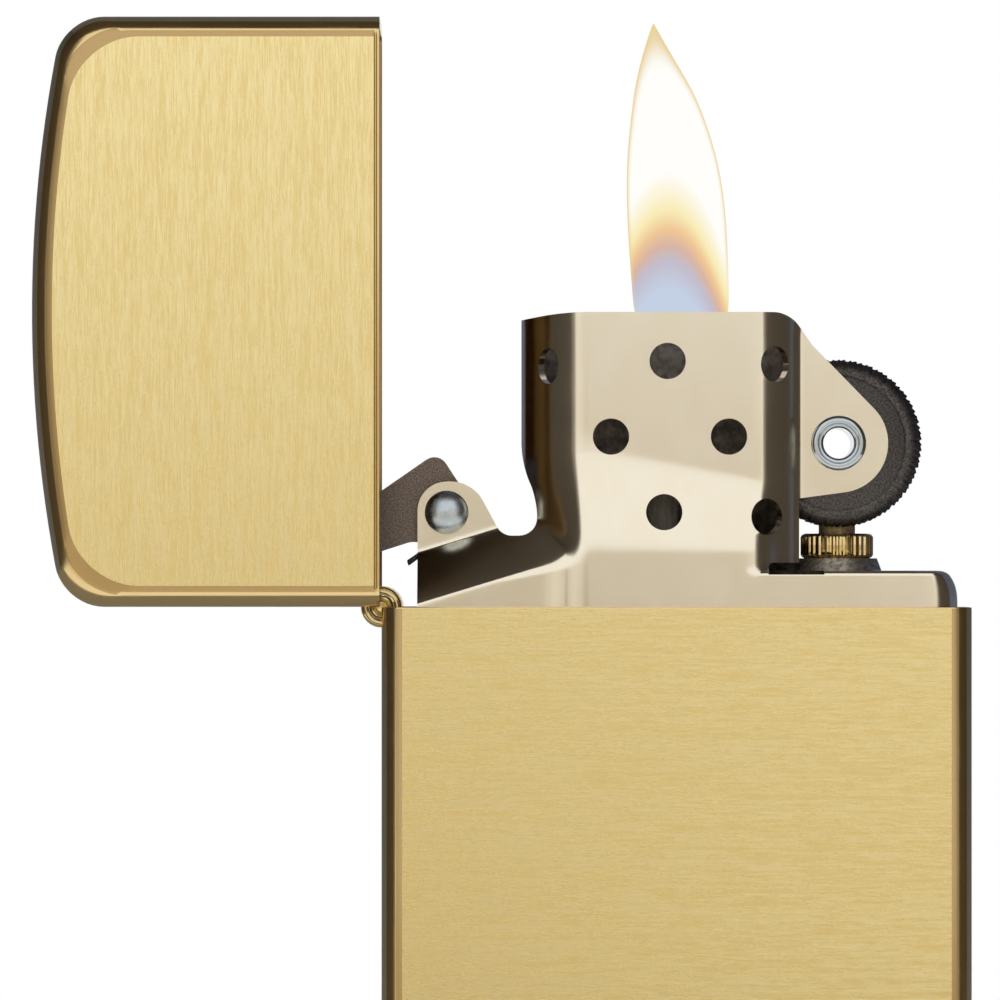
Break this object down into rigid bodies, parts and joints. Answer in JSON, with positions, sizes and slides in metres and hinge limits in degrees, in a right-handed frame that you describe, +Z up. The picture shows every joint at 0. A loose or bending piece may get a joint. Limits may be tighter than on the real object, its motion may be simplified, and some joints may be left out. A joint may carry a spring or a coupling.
{
  "type": "flip-top petrol lighter",
  "caption": "Flip-top windproof petrol lighter: brushed brass case and hinged lid round a tan steel insert with a perforated chimney, spark wheel, cam and flint tube.",
  "frame": {"origin": "centre of the flat base of the lower case", "axes": "+Z up from the base, +X from the hinge side towards the spark wheel side, -Y towards the viewer of the front face"},
  "size_m": [0.0605, 0.013, 0.0725],
  "materials": {
    "case_brass": "fine brushed faces with polished rounded edges",
    "hinge_brass": "polished sheet",
    "insert_steel": "polished, tinted champagne",
    "wheel_steel": "blackened and knurled",
    "sintered_steel": "sintered, matt and grainy",
    "rivet_steel": "bright zinc plated",
    "spring_steel": "blued",
    "washer_steel": "dark, satin",
    "tube_brass": "turned and knurled",
    "flint_alloy": "dull",
    "wick_cotton": "braided cotton with a charred tip",
    "cotton_wool": "loose cotton wool",
    "felt": "pressed felt"
  },
  "bodies": {
    "case_body": {"case_shell": "case_brass", "case_hinge_leaf": "hinge_brass", "hinge_pin": "rivet_steel", "fuel_tank": "insert_steel", "deck_plate": "insert_steel", "chimney": "insert_steel", "wheel_rivet": "rivet_steel", "cam_rivet": "rivet_steel", "cam_spring": "spring_steel", "spring_rivet": "rivet_steel", "flint_tube": "tube_brass", "flint_collar": "tube_brass", "collar_washer": "washer_steel", "flint": "flint_alloy", "flint_spring": "spring_steel", "flint_spring_tip": "tube_brass", "flint_screw": "tube_brass", "wick": "wick_cotton", "packing_wad_1": "cotton_wool", "packing_wad_2": "cotton_wool", "packing_wad_3": "cotton_wool", "packing_wad_4": "cotton_wool", "felt_pad": "felt"},
    "lid_body": {"lid_shell": "case_brass", "lid_hinge_leaf": "hinge_brass"},
    "cam_body": {"cam": "sintered_steel"},
    "wheel_body": {"spark_wheel": "wheel_steel"}
  },
  "joints": [
    {"name": "lid_hinge", "type": "hinge", "parent": "case_body", "child": "lid_body", "pos_m": [-0.019, 0, 0.0345], "axis": [0, 1, 0], "range_deg": [0, 90]},
    {"name": "cam_pivot", "type": "hinge", "parent": "case_body", "child": "cam_body", "pos_m": [-0.01482, 0, 0.0406], "axis": [0, 1, 0], "range_deg": [0, 86]},
    {"name": "wheel_spin", "type": "hinge", "parent": "case_body", "child": "wheel_body", "pos_m": [0.0105, 0, 0.04507], "axis": [0, 1, 0], "continuous": true}
  ],
  "couplings": [
    {"joint": "cam_pivot", "follows": "lid_hinge", "ratio": 0.95}
  ]
}
